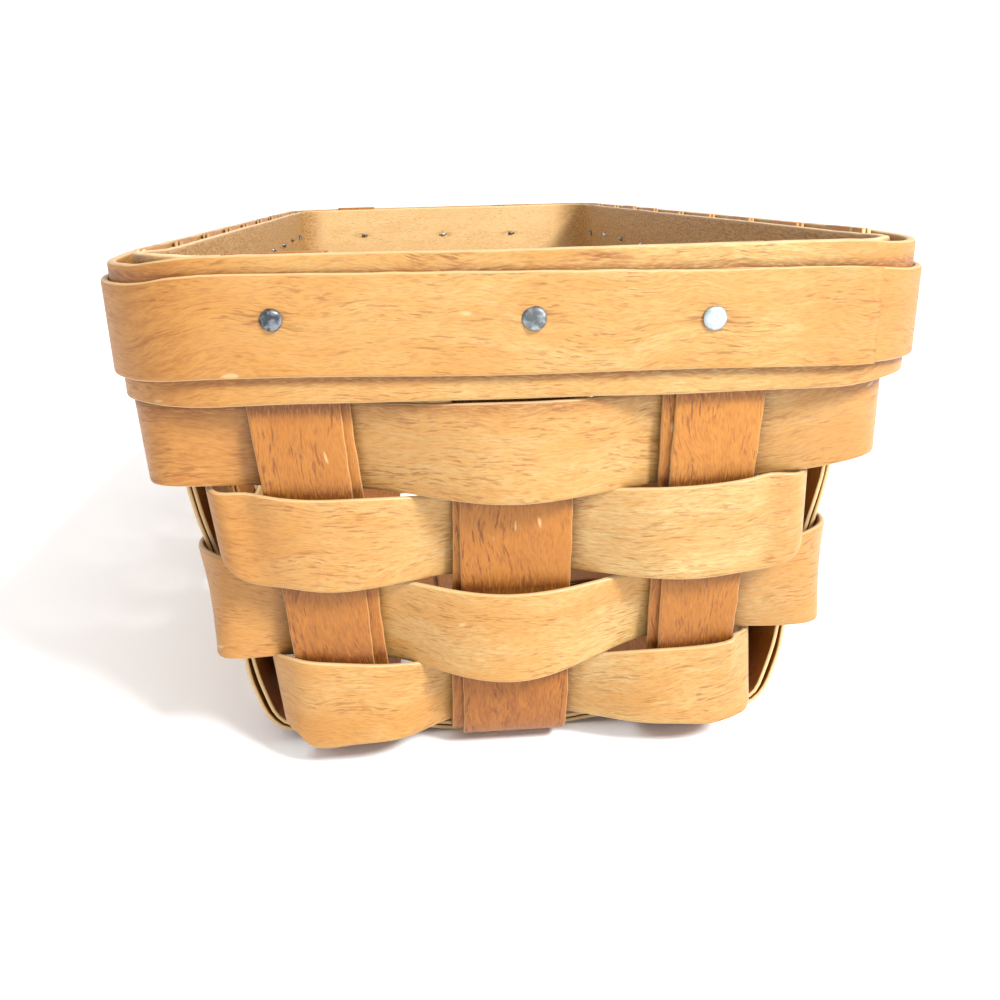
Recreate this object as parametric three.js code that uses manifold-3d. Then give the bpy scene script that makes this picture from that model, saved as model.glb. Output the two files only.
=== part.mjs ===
// Splint-woven cracker basket. Doubled splints run from rim to rim under the bottom, four rings of
// weaver go over and under them, and three bands are nailed together round the rim.
// Millimetres, +Z up. X runs across the basket and Y along it; the origin is on the surface that the
// basket stands on, under the middle of the bottom.

import * as THREE from 'three';
import { mergeVertices } from 'three/addons/utils/BufferGeometryUtils.js';
import Module from 'manifold-3d';

const wasm = await Module();
wasm.setup();

// Rim, measured over the wide band
const rimLength = 289;
const rimWidth = 124;
const rimHeight = 86.5;
const rimCornerRadius = 16;

// Leans of the walls from upright, in degrees: beside the bands, and below them
const sideLean = { band: 1.2, body: 12.5 };
const endLean = { band: 1.2, body: 9.7 };

// Bands
const wideBandHeight = 21.6;
const wideBandThickness = 1.4;
const trimHeight = 14.9;
const trimThickness = 1.4;
const trimDrop = 3;
const trimSlope = 0.012;
const innerBandHeight = 21;
const innerBandThickness = 1.3;
const innerBandDrop = 0.4;

// Splints: each is two plies, one inside the other
const plyThickness = 0.75;
const plyGap = 0.15;
const splintDrop = 1;
const endBendRadius = 9;
const sideBendRadius = 7.5;
const crossSplintCount = 9;
const crossSplintWidth = 15;
const crossSplintCornerGap = 12;
const innerPlyShift = 1.2;

// Lengthwise splints. The outer two are placed from the side walls, at the rim and at the bottom.
const leftSplint = { width: 14.7, rimGap: 18.7, footGap: 10.3 };
const rightSplint = { width: 13.8, rimGap: 26.6, footGap: 11.7 };
const middleSplint = { width: 17.6, offset: -1.9 };

// Weavers, from the rim down. A row's edges stand off the splints that it passes outside or inside of,
// more so inside the splints beside a corner, and at the corners it bulges from the wall or cuts in.
// The lists give what differs from row to row: rises at the corners and inside of splints, and the sag
// over the middle splint.
const rowHeights = [14.8, 15.4, 15.8, 12.6];
const weaverThickness = 1;
const rowGap = 0.25;
const weaverCornerRadius = { outside: 15, inside: 9 };
const topEdge = {
  outside: 0.2,
  inside: 0.2,
  besideCorner: 2.6,
  cornerOutside: 0.8,
  cornerInside: 7,
  cornerRise: [0, 0, 1.2, 0],
  insideLift: [0, 0, 0, 0],
  middleSag: [0, 0, 2.1, 0],
};
const lowerEdge = {
  outside: 1.9,
  inside: 1.1,
  besideCorner: 1.2,
  cornerOutside: 3.6,
  cornerInside: 5,
  cornerRise: [1.4, 0, 1.4, 0],
  insideLift: [0, 0, 0, 1.6],
  middleSag: [0.9, 0, 2.2, 0],
};
const plateauInset = 1;
const flatStart = 0.7;

// Tacks: one through the rim at each end of each splint
const tackDrop = 10.1;
const tackHeadRadius = 1.8;
const tackHeadHeight = 0.8;
const tackShankRadius = 0.75;
const tackPointLength = 2.2;
const tackReach = 1.2;
const tackHeadGap = 0.05;
const tackHoleClearance = 0.1;
const tackShift = { left: -1.3, middle: 2.5, right: -1.7 };

// Gap between pieces that lie on each other
const layGap = 0.2;

const bandCornerSteps = 6;
const bendSteps = 5;
const crossingSteps = 4;
const cornerSteps = 5;
const tackHeadSides = 8;
const tackShankSides = 4;

const stackThickness = 2 * plyThickness + plyGap;
const stackInset = wideBandThickness + layGap + stackThickness / 2;
const innerBandInset = wideBandThickness + 2 * layGap + stackThickness;
const bandFoot = rimHeight - wideBandHeight;
const downLevel = stackThickness / 2;
const upLevel = downLevel + stackThickness + layGap;

function degrees(angle) {
  return THREE.MathUtils.degToRad(angle);
}

// How far a wall has come in from the rim at height z
function wallInset(z, lean) {
  const besideBand = (rimHeight - Math.max(z, bandFoot)) * Math.tan(degrees(lean.band));
  const belowBand = Math.max(bandFoot - z, 0) * Math.tan(degrees(lean.body));
  return besideBand + belowBand;
}

function halfWidth(z, inset) {
  return rimWidth / 2 - wallInset(z, sideLean) - inset;
}

function halfLength(z, inset) {
  return rimLength / 2 - wallInset(z, endLean) - inset;
}

// A closed solid through four-cornered sections, from the first section to the last or round a ring
function sweptSolid(sections, closed) {
  const corners = 4;
  const positions = [];
  for (const section of sections) {
    for (const corner of section) {
      positions.push(corner.x, corner.y, corner.z);
    }
  }
  const faces = [];
  const spans = closed ? sections.length : sections.length - 1;
  for (let i = 0; i < spans; i++) {
    const here = i * corners;
    const next = ((i + 1) % sections.length) * corners;
    for (let k = 0; k < corners; k++) {
      const m = (k + 1) % corners;
      faces.push(here + k, next + k, next + m, here + k, next + m, here + m);
    }
  }
  if (!closed) {
    const last = (sections.length - 1) * corners;
    faces.push(0, 1, 2, 0, 2, 3);
    faces.push(last, last + 2, last + 1, last, last + 3, last + 2);
  }
  const geometry = new THREE.BufferGeometry();
  geometry.setAttribute('position', new THREE.Float32BufferAttribute(positions, 3));
  geometry.setIndex(faces);
  return geometry;
}

// A ring of strip between a top line and a lower line, with its thickness half to each side of them
function ringStrip(topLine, lowerLine, thickness) {
  const count = topLine.length;
  const middle = topLine.map((point, i) => point.clone().add(lowerLine[i]).multiplyScalar(0.5));
  const sections = topLine.map((top, i) => {
    const lower = lowerLine[i];
    const before = middle[i].clone().sub(middle[(i + count - 1) % count]).normalize();
    const after = middle[(i + 1) % count].clone().sub(middle[i]).normalize();
    const outward = before.add(after).cross(top.clone().sub(lower)).normalize();
    const half = outward.multiplyScalar(thickness / 2);
    return [lower.clone().sub(half), lower.clone().add(half), top.clone().add(half), top.clone().sub(half)];
  });
  return sweptSolid(sections, true);
}

// The wall's outline at height z: a rectangle with round corners, walked by its length from the left
// end of the near straight, anticlockwise from above
function wallOutline(z, inset, radius) {
  const straightX = halfWidth(z, inset) - radius;
  const straightY = halfLength(z, inset) - radius;
  const quarter = (Math.PI / 2) * radius;
  const sides = [
    { start: [-straightX, -straightY], along: [1, 0], out: [0, -1], length: 2 * straightX },
    { start: [straightX, -straightY], along: [0, 1], out: [1, 0], length: 2 * straightY },
    { start: [straightX, straightY], along: [-1, 0], out: [0, 1], length: 2 * straightX },
    { start: [-straightX, straightY], along: [0, -1], out: [-1, 0], length: 2 * straightY },
  ];
  let walked = 0;
  for (const side of sides) {
    side.begins = walked;
    walked += side.length + quarter;
  }
  const total = walked;

  function at(distance, offset, height) {
    const place = ((distance % total) + total) % total;
    const side = sides.findLast((candidate) => candidate.begins <= place);
    const along = Math.min(place - side.begins, side.length);
    const turn = (place - side.begins - along) / radius;
    const reach = radius + offset;
    const out = side.out.map((value, k) => value * Math.cos(turn) + side.along[k] * Math.sin(turn));
    const [x, y] = side.start.map((value, k) => value + side.along[k] * along + out[k] * reach);
    return new THREE.Vector3(x, y, height);
  }

  return { sides, quarter, at };
}

// Where the middle of a left (-1) or right (1) splint lies at height z: it leans straight from its place
// at the rim to its place at the bottom
function leaningMiddle(side, splint) {
  const atRim = side * (halfWidth(rimHeight, splint.rimGap) - splint.width / 2);
  const atFoot = side * (halfWidth(0, splint.footGap) - splint.width / 2);
  return (z) => THREE.MathUtils.lerp(atFoot, atRim, z / rimHeight);
}

// Lengthwise splints from left to right
const longSplints = [
  {
    name: 'left',
    width: leftSplint.width,
    innerShift: innerPlyShift,
    middle: leaningMiddle(-1, leftSplint),
  },
  {
    name: 'middle',
    width: middleSplint.width,
    innerShift: -innerPlyShift,
    middle: () => middleSplint.offset,
  },
  {
    name: 'right',
    width: rightSplint.width,
    innerShift: -innerPlyShift,
    middle: leaningMiddle(1, rightSplint),
  },
];

// Crosswise splints, numbered from the near end
const firstCross = halfLength(0, crossSplintCornerGap) - crossSplintWidth / 2;
const crossPitch = (2 * firstCross) / (crossSplintCount - 1);
const crossSplints = Array.from({ length: crossSplintCount }, (_, i) => ({
  name: String(i + 1),
  width: crossSplintWidth,
  place: -firstCross + i * crossPitch,
}));

// A crossing on the bottom: the splint is up over some of those that it meets and down under others
function plateau(place, width, shift, up) {
  const left = place - width / 2 - layGap + Math.min(shift, 0);
  const right = place + width / 2 + layGap + Math.max(shift, 0);
  const level = up ? upLevel : downLevel;
  return [new THREE.Vector2(left, level), new THREE.Vector2(right, level)];
}

// The line of a splint's middle, from one rim to the other, in the plane that it is bent in
function splintLine(halfSize, crossings) {
  const topLevel = rimHeight - splintDrop;
  const wall = [topLevel, bandFoot, downLevel].map((z) => new THREE.Vector2(-halfSize(z, stackInset), z));
  const farWall = wall.map((point) => new THREE.Vector2(-point.x, point.y)).reverse();
  return [...wall, ...crossings.flat(), ...farWall];
}

// Stations along such a line, with an arc at the two bottom corners and outward directions
function stationsAlong(line, bendRadius) {
  const points = [];
  line.forEach((point, i) => {
    const isCorner = i === 2 || i === line.length - 3;
    if (!isCorner) {
      points.push(point);
      return;
    }
    const before = line[i - 1].clone().sub(point).normalize();
    const after = line[i + 1].clone().sub(point).normalize();
    const halfAngle = Math.acos(THREE.MathUtils.clamp(before.dot(after), -1, 1)) / 2;
    const centre = before.clone().add(after).normalize().multiplyScalar(bendRadius / Math.sin(halfAngle));
    centre.add(point);
    const from = point.clone().addScaledVector(before, bendRadius / Math.tan(halfAngle)).sub(centre);
    const turn = Math.PI - 2 * halfAngle;
    for (let k = 0; k <= bendSteps; k++) {
      points.push(from.clone().rotateAround(new THREE.Vector2(), (turn * k) / bendSteps).add(centre));
    }
  });
  return points.map((point, i) => {
    const before = points[Math.max(i, 1)].clone().sub(points[Math.max(i, 1) - 1]).normalize();
    const after = points[Math.min(i + 1, points.length - 1)].clone();
    after.sub(points[Math.min(i, points.length - 2)]).normalize();
    const heading = before.clone().add(after).normalize();
    const stretch = 1 / heading.dot(before);
    return { point, outward: new THREE.Vector2(heading.y, -heading.x).multiplyScalar(stretch) };
  });
}

// One ply of a splint, between two distances outward from the splint's middle line
function plySolid(stations, from, to, toWorld) {
  const sections = stations.map(({ point, outward }) => {
    const inner = point.clone().addScaledVector(outward, from);
    const outer = point.clone().addScaledVector(outward, to);
    return [toWorld(inner, -0.5), toWorld(outer, -0.5), toWorld(outer, 0.5), toWorld(inner, 0.5)];
  });
  return sweptSolid(sections, false);
}

function plies(stations, toWorld) {
  const gap = plyGap / 2;
  return {
    outer: plySolid(stations, gap, gap + plyThickness, (point, side) => toWorld(point, side, 0)),
    inner: plySolid(stations, -gap - plyThickness, -gap, (point, side) => toWorld(point, side, 1)),
  };
}

function longSplintPlies(splint, index) {
  const crossings = crossSplints.map((cross, i) => {
    return plateau(cross.place, cross.width, 0, (index + i) % 2 === 1);
  });
  const stations = stationsAlong(splintLine(halfLength, crossings), endBendRadius);
  return plies(stations, (point, side, inner) => {
    const x = splint.middle(point.y) + side * splint.width + inner * splint.innerShift;
    return new THREE.Vector3(x, point.x, point.y);
  });
}

function crossSplintPlies(cross, index) {
  const crossings = longSplints.map((splint, i) => {
    return plateau(splint.middle(0), splint.width, splint.innerShift, (index + i) % 2 === 0);
  });
  const stations = stationsAlong(splintLine(halfWidth, crossings), sideBendRadius);
  return plies(stations, (point, side) => {
    return new THREE.Vector3(point.x, cross.place - side * cross.width, point.y);
  });
}

// How much of its rise or sag a weaver's edge still has at an offset from the wall's middle. It is level
// again before it crosses over, so that it clears the rows above and below.
function riseHeld(pass, offset) {
  const part = (offset / pass.reach - flatStart) / (1 - flatStart);
  return pass.rise * THREE.MathUtils.clamp(part, 0, 1);
}

// One edge of a weaver, from the places where it passes outside or inside the splints at its height.
// It lies flat over each splint and eases across to the other side of the wall between them.
function weaverEdge(z, row, edge) {
  const isOutside = (index) => (index + row) % 2 === 0;
  const cornerOutside = isOutside(longSplints.length);
  const radius = cornerOutside ? weaverCornerRadius.outside : weaverCornerRadius.inside;
  const outline = wallOutline(z, stackInset, radius);
  const [near, right, far, left] = outline.sides;
  const nearest = stackThickness / 2 + layGap + weaverThickness / 2;
  const passes = [];

  function pass(distance, width, index, inside, rise) {
    const outside = isOutside(index);
    const reach = outside ? nearest + edge.outside : -nearest - inside;
    const lift = outside ? 0 : edge.insideLift[row - 1];
    passes.push({ distance, half: width / 2 - plateauInset, reach, rise: rise + lift });
  }

  longSplints.forEach((splint, i) => {
    const x = splint.middle(z);
    const rise = splint.name === 'middle' ? -edge.middleSag[row - 1] : 0;
    pass(near.begins + x - near.start[0], splint.width, i, edge.inside, rise);
    pass(far.begins + far.start[0] - x, splint.width, i, edge.inside, rise);
  });
  crossSplints.forEach((cross, i) => {
    const isLast = i === 0 || i === crossSplints.length - 1;
    const inside = isLast ? edge.besideCorner : edge.inside;
    pass(right.begins + cross.place - right.start[1], cross.width, longSplints.length + i, inside, 0);
    pass(left.begins + left.start[1] - cross.place, cross.width, longSplints.length + i, inside, 0);
  });
  for (const side of outline.sides) {
    const reach = cornerOutside ? edge.cornerOutside : -edge.cornerInside;
    const distance = side.begins + side.length + outline.quarter / 2;
    passes.push({ distance, half: 0, reach, rise: edge.cornerRise[row - 1] });
  }
  passes.sort((a, b) => a.distance - b.distance);

  const points = [];
  const total = left.begins + left.length + outline.quarter;
  passes.forEach((here, i) => {
    const next = passes[(i + 1) % passes.length];
    const wrapped = i + 1 === passes.length ? total : 0;
    const from = here.distance + here.half;
    const to = next.distance - next.half + wrapped;
    if (here.half > 0) {
      points.push(outline.at(here.distance - here.half, here.reach, z + here.rise));
    }
    const steps = here.half > 0 && next.half > 0 ? crossingSteps : cornerSteps;
    for (let k = 0; k < steps; k++) {
      const ease = (1 - Math.cos((Math.PI * k) / steps)) / 2;
      const offset = THREE.MathUtils.lerp(here.reach, next.reach, ease);
      const rise = THREE.MathUtils.lerp(riseHeld(here, offset), riseHeld(next, offset), ease);
      points.push(outline.at(THREE.MathUtils.lerp(from, to, k / steps), offset, z + rise));
    }
  });
  return points;
}

function weaverRing(row) {
  const above = rowHeights.slice(0, row - 1).reduce((sum, height) => sum + height, 0);
  const top = bandFoot - above - rowGap;
  const lower = bandFoot - above - rowHeights[row - 1];
  return ringStrip(weaverEdge(top, row, topEdge), weaverEdge(lower, row, lowerEdge), weaverThickness);
}

// A band round the rim, with its outer face at an inset from the wide band's outer face
function bandRing(drop, height, inset, thickness, slope) {
  function edge(z) {
    const middle = inset + thickness / 2;
    const radius = rimCornerRadius - middle;
    const outline = wallOutline(z, middle, radius);
    const points = [];
    for (const side of outline.sides) {
      points.push(outline.at(side.begins, 0, z));
      for (let k = 0; k < bandCornerSteps; k++) {
        const turned = (outline.quarter * k) / bandCornerSteps;
        points.push(outline.at(side.begins + side.length + turned, 0, z));
      }
    }
    for (const point of points) {
      point.z -= slope * point.x;
    }
    return points;
  }
  return ringStrip(edge(rimHeight - drop), edge(rimHeight - drop - height), thickness);
}

// Where each tack goes: on the trim's outer face, pointing outward from the wall
function tackPlaces() {
  const outside = -layGap - trimThickness;
  const places = [];

  // Along the slope of the trim
  function height(x) {
    return rimHeight - tackDrop - trimSlope * x;
  }

  function place(name, position, out, lean) {
    const outward = out.clone().multiplyScalar(Math.cos(degrees(lean)));
    outward.z = -Math.sin(degrees(lean));
    const along = new THREE.Vector3(0, 0, 1).cross(out);
    const up = outward.clone().cross(along);
    const frame = new THREE.Matrix4().makeBasis(along, up, outward).setPosition(position);
    places.push({ name, frame });
  }

  for (const [wall, sign] of [['near', -1], ['far', 1]]) {
    for (const splint of longSplints) {
      const x = splint.middle(rimHeight - tackDrop) + tackShift[splint.name];
      const position = new THREE.Vector3(x, sign * halfLength(height(x), outside), height(x));
      place(`${wall}_${splint.name}`, position, new THREE.Vector3(0, sign, 0), endLean.band);
    }
  }
  for (const [wall, sign] of [['left', -1], ['right', 1]]) {
    for (const cross of crossSplints) {
      const x = sign * halfWidth(rimHeight - tackDrop, outside);
      const position = new THREE.Vector3(x, cross.place, height(x));
      place(`${wall}_${cross.name}`, position, new THREE.Vector3(sign, 0, 0), sideLean.band);
    }
  }
  return places;
}

function turned(profile, sides) {
  const points = profile.map(([radius, height]) => new THREE.Vector2(radius, height));
  const geometry = new THREE.LatheGeometry(points, sides);
  return geometry.rotateX(Math.PI / 2);
}

function toSolid(geometry) {
  const bare = geometry.clone();
  bare.deleteAttribute('normal');
  bare.deleteAttribute('uv');
  const merged = mergeVertices(bare);
  return new wasm.Manifold(new wasm.Mesh({
    numProp: 3,
    vertProperties: new Float32Array(merged.attributes.position.array),
    triVerts: new Uint32Array(merged.index.array),
  }));
}

function fromSolid(solid) {
  const mesh = solid.getMesh();
  const geometry = new THREE.BufferGeometry();
  geometry.setAttribute('position', new THREE.BufferAttribute(mesh.vertProperties, 3));
  geometry.setIndex(new THREE.BufferAttribute(mesh.triVerts, 1));
  return geometry;
}

const rimDepth = innerBandInset + innerBandThickness + layGap + trimThickness;

// A cut tack: a low domed head and a square shank that ends in a point past the inner band
function tackGeometry() {
  const shoulder = tackHeadHeight * 0.4;
  const pointStart = tackPointLength - rimDepth - tackReach;
  const head = turned([
    [0, tackHeadGap],
    [tackHeadRadius, tackHeadGap],
    [tackHeadRadius, tackHeadGap + shoulder],
    [tackHeadRadius / 2, tackHeadGap + tackHeadHeight],
    [0, tackHeadGap + tackHeadHeight],
  ], tackHeadSides);
  const shank = turned([
    [0, pointStart - tackPointLength],
    [tackShankRadius, pointStart],
    [tackShankRadius, tackHeadGap + shoulder / 2],
    [0, tackHeadGap + shoulder / 2],
  ], tackShankSides);
  return fromSolid(toSolid(head).add(toSolid(shank)));
}

function tackHole(frame) {
  const radius = tackShankRadius + tackHoleClearance;
  const past = tackHeadHeight;
  const rod = turned([
    [0, -rimDepth - past],
    [radius, -rimDepth - past],
    [radius, past],
    [0, past],
  ], tackShankSides);
  return toSolid(rod.applyMatrix4(frame));
}

function pierced(geometry, places) {
  let solid = toSolid(geometry);
  for (const place of places) {
    solid = solid.subtract(tackHole(place.frame));
  }
  return fromSolid(solid);
}

const finishes = {
  band: { color: 0xd2a065, roughness: 0.5, metalness: 0 },
  weaver: { color: 0xcf9a5b, roughness: 0.55, metalness: 0 },
  splint: { color: 0xb5743a, roughness: 0.6, metalness: 0 },
  tack: { color: 0x9a9c9e, roughness: 0.35, metalness: 1 },
};

const basket = new THREE.Group();

function addPiece(name, geometry, finish) {
  geometry.computeVertexNormals();
  const mesh = new THREE.Mesh(geometry, new THREE.MeshStandardMaterial(finishes[finish]));
  mesh.name = name;
  basket.add(mesh);
}

const tacks = tackPlaces();

function tacksNamed(...names) {
  return tacks.filter((tack) => names.includes(tack.name));
}

addPiece('wide_band', pierced(bandRing(0, wideBandHeight, 0, wideBandThickness, 0), tacks), 'band');
addPiece(
  'trim_band',
  pierced(bandRing(trimDrop, trimHeight, -layGap - trimThickness, trimThickness, trimSlope), tacks),
  'band',
);
addPiece(
  'inner_band',
  pierced(bandRing(innerBandDrop, innerBandHeight, innerBandInset, innerBandThickness, 0), tacks),
  'band',
);

for (let row = 1; row <= rowHeights.length; row++) {
  addPiece(`weaver_row_${row}`, weaverRing(row), 'weaver');
}

longSplints.forEach((splint, i) => {
  const own = tacksNamed(`near_${splint.name}`, `far_${splint.name}`);
  for (const [layer, geometry] of Object.entries(longSplintPlies(splint, i))) {
    addPiece(`long_splint_${splint.name}_${layer}`, pierced(geometry, own), 'splint');
  }
});

crossSplints.forEach((cross, i) => {
  const own = tacksNamed(`left_${cross.name}`, `right_${cross.name}`);
  for (const [layer, geometry] of Object.entries(crossSplintPlies(cross, i))) {
    addPiece(`cross_splint_${cross.name}_${layer}`, pierced(geometry, own), 'splint');
  }
});

const tackShape = tackGeometry();
for (const tack of tacks) {
  addPiece(`tack_${tack.name}`, tackShape.clone(), 'tack');
  basket.children.at(-1).applyMatrix4(tack.frame);
}

export default basket;
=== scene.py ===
import bisect
import math
import random

import bmesh
import bpy
import numpy as np
from mathutils import Matrix, Vector


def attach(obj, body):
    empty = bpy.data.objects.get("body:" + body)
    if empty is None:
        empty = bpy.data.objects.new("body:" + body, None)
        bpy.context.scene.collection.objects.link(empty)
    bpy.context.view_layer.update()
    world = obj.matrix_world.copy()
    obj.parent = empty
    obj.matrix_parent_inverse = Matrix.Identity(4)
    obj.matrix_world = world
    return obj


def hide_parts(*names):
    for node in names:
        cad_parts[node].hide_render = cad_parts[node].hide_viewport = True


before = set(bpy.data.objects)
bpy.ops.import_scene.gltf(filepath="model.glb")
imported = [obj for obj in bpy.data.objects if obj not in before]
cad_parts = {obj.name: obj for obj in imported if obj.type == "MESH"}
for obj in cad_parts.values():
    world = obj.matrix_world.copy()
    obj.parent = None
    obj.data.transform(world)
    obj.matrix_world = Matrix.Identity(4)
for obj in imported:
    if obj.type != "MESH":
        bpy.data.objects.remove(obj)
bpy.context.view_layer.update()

# Metres, +Z up. X runs across the basket and Y along it; the photographed end is at -Y.
MM = 0.001

# Rim, measured over the wide band
RIM_LENGTH = 0.289
RIM_WIDTH = 0.124
RIM_HEIGHT = 0.0865
RIM_CORNER_RADIUS = 0.016

# Leans of the walls from upright: beside the bands, and below them
SIDE_LEAN = {"band": math.radians(1.2), "body": math.radians(12.5)}
END_LEAN = {"band": math.radians(1.2), "body": math.radians(9.7)}

# Gap between two pieces that lie on each other
LAY_GAP = 0.0002

# Splints: each is two plies, one inside the other
PLY_THICKNESS = 0.00075
PLY_GAP = 0.00015
SIDE_BEND_RADIUS = 0.0075
END_BEND_RADIUS = {"left": 0.009, "middle": 0.005, "right": 0.009}
PLY_SPREAD = {"long": 0.0002, "cross": 0.0005}
SPLINT_PROUD = {"left": 0.0005, "middle": -0.0002, "right": 0.0, "cross": 0.0003}
PROUD_SPREAD = 0.0003
CROSS_SPLINTS = 9
CROSS_SPLINT_WIDTH = 0.015
CROSS_SPLINT_CORNER_GAP = 0.012
STACK_THICKNESS = 2 * PLY_THICKNESS + PLY_GAP

# The first crosswise splint bends more sharply, and its feet stand nearer the middle and the end. The
# others vary: how far the inner ply peeks out, and how much of the width is missing.
FIRST_SIDE_BEND_RADIUS = 0.005
FIRST_FOOT_TUCK = 0.0014
FIRST_FOOT_SHIFT = 0.0032
CROSS_PEEK = 0.0009
CROSS_WIDTH_LOSS = 0.0006

# How far a splint is pushed outward by a weaver that passes inside it, by one that passes outside, and
# at the middle splint's foot
PUSH_OUT = 0.0003
PUSH_IN = -0.0002
MIDDLE_FOOT_PUSH = 0.0007

# Bands
WIDE_BAND = {"height": 0.0216, "thickness": 0.0014, "drop": 0.0, "slope": 0.0}
TRIM_BAND = {"height": 0.0149, "thickness": 0.00115, "drop": 0.003, "slope": 0.012}
INNER_BAND = {"height": 0.021, "thickness": 0.0013, "drop": 0.0004, "slope": 0.0}
WIDE_BAND_STAND_OFF = 0.00025
BAND_LAY_GAP = 0.0001
BAND_FOOT = RIM_HEIGHT - WIDE_BAND["height"]
STACK_INSET = WIDE_BAND["thickness"] + LAY_GAP + STACK_THICKNESS / 2
INNER_BAND_INSET = STACK_INSET + STACK_THICKNESS / 2 + LAY_GAP
TRIM_FACE = -WIDE_BAND_STAND_OFF - BAND_LAY_GAP - TRIM_BAND["thickness"]

# Levels of the middle of a splint on the bottom, below or above the one that it crosses
DOWN_LEVEL = STACK_THICKNESS / 2
UP_LEVEL = DOWN_LEVEL + STACK_THICKNESS + LAY_GAP

# Weavers, from the rim down. A reach is how far a weaver's middle stands from the splints' middle.
# At a corner an odd weaver stands off by a left and a right value. An even one bends sharply at a left
# and a right distance from the side walls, and at a third one from the end wall.
ROW_HEIGHTS = (0.0148, 0.0154, 0.0158, 0.0126)
ROWS = len(ROW_HEIGHTS)
ROW_GAP = 0.00025
WEAVER_THICKNESS = 0.001
WEAVER_CORNER_RADIUS = {"outside": 0.015, "inside": 0.009}
NEAREST = STACK_THICKNESS / 2 + LAY_GAP + WEAVER_THICKNESS / 2
MIDDLE = 1
TOP_EDGE = {
    "outside": NEAREST + 0.0002,
    "inside": NEAREST + 0.0002,
    "bulge": 0.0005,
    "middle_bulge": {1: 0.0003, 3: 0.0007},
    "corner": {1: (0.0019, -0.0005), 3: (0.0008, 0.0)},
    "bend": {2: (0.0076, 0.0124, 0.00045), 4: (0.0083, 0.0125, 0.00045)},
}
LOWER_EDGE = {
    "outside": NEAREST + 0.0013,
    "inside": NEAREST + 0.0009,
    "bulge": 0.0008,
    "middle_bulge": {1: 0.0016, 3: 0.0018},
    "corner": {1: (0.0054, 0.0038), 3: (0.0068, 0.0062)},
    "bend": {2: (0.0054, 0.0087, 0.0023), 4: (0.0069, 0.0081, 0.0023)},
}
SHOULDER = 0.0028

# How far a weaver's edges lie above their even level, in mm: at the left corner, just left of the left
# splint, at the left, middle and right splints, just right of the right one and at the right corner,
# then at the first and second crosswise splints and at the others
TOP_RISES = (
    (0.6, 0.3, -0.1, -0.1, -0.1, 0.6, 1.8, -0.1, -0.1, -0.1),
    (1.7, 1.4, 0.2, -1.6, -0.1, 0.8, 0.6, 0.3, 0.0, 0.0),
    (4.1, 2.0, 0.6, -2.1, -0.8, 1.3, 3.6, 2.2, 0.3, 0.0),
    (2.5, 2.8, 1.6, -1.8, 1.3, 2.6, 2.2, 1.9, 0.9, 0.9),
)
LOWER_RISES = (
    (2.4, 1.5, 0.4, -1.3, -1.2, -0.6, 2.2, 0.7, 0.2, 0.0),
    (4.6, 1.2, 0.0, -0.6, -0.9, -0.3, 2.6, 2.0, 0.2, 0.0),
    (2.6, 1.3, 0.3, -1.8, 1.8, 2.4, 3.6, 2.2, 0.9, 0.8),
    (1.2, -0.6, -1.4, -0.35, -1.0, -0.9, 0.1, 0.6, -0.6, 0.2),
)

# Places in those rows
PAST_LEFT_RISE = 1
LEFT_SPLINT_RISE = 2
PAST_RIGHT_RISE = 5
FIRST_CROSS_RISE = 7

# A weaver's end lies inside its own start for a length, after stepping in over another
WEAVER_OVERLAP = 0.013
WEAVER_RAMP = 0.012
WEAVER_STEP_IN = WEAVER_THICKNESS + 0.00008

# Rises of the bands' edges at the near corners and lengthwise splints, in mm, in the same order
WIDE_BAND_RISES = {"top": (-0.7, 0.4, 0.1, 0.1, -0.7), "lower": (0.6, 0.45, 0.1, -0.1, 0.7)}
TRIM_RISES = {"top": (-1.0, 0.35, 0.15, -0.1, -0.9), "lower": (-0.1, 0.5, 0.15, 0.4, 0.5)}
INNER_BAND_RISES = {"top": (1.0, 0.6, 0.1, 0.1, 0.1), "lower": (0.0, 0.0, 0.0, 0.0, 0.0)}
BAND_CORNER_PULL = 0.0004
JOINT_LENGTH = 0.026

# The bands' joints, on the left, near and right walls
WIDE_JOINT_Y = 0.03
TRIM_JOINT_END_X = 0.0513
INNER_JOINT_Y = 0.09

# Small brown knots near the top edge of the wide band
KNOTS = ((0.0105, -0.1445, 0.0852), (-0.0105, -0.1445, 0.0860))

# Tacks
TACK_DROP = 0.0101
TACK_HEAD_RADIUS = 0.00175
TACK_HEAD_HEIGHT = 0.0007
TACK_SHANK_RADIUS = 0.0006
TACK_SHIFT = {
    "near": {"left": -0.0011, "middle": 0.0023, "right": -0.0026},
    "far": {"left": 0.0019, "middle": 0.0023, "right": -0.0017},
}
TACK_LIFT = {
    "near": {"left": 0.0011, "middle": 0.0005, "right": 0.0},
    "far": {"left": -0.0012, "middle": -0.0012, "right": -0.0012},
}
TACK_TILT = 0.07
TACK_SIZES = (0.94, 1.04)
TACK_TURN = 0.7
RIM_DEPTH = INNER_BAND_INSET + INNER_BAND["thickness"] - TRIM_FACE

# Fineness of the meshes
STATION_STEP = 0.0016
BAND_STEP = 0.003
BAND_CORNER_STEP = 0.0011
WIDE_FACE_STEPS = 28
FACE_STEPS = 8
PLY_FACE_STEPS = 6

# Hand-made unevenness: its size, its longest and shortest wave and, where given, the number of waves
FIRST_WEAVER_UNEVEN = (0.00008, 0.06, 0.014)
WEAVER_UNEVEN = (0.0002, 0.06, 0.014)
BAND_UNEVEN = (0.00016, 0.11, 0.02)
BAND_FRAY = (0.00012, 0.012, 0.004, 7)
PLY_UNEVEN = (0.00022, 0.05, 0.012)
PLY_RAG = (0.00014, 0.008, 0.004, 5)
TACK_LUMPS = (0.00012, 3.0, 1.2)

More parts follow.
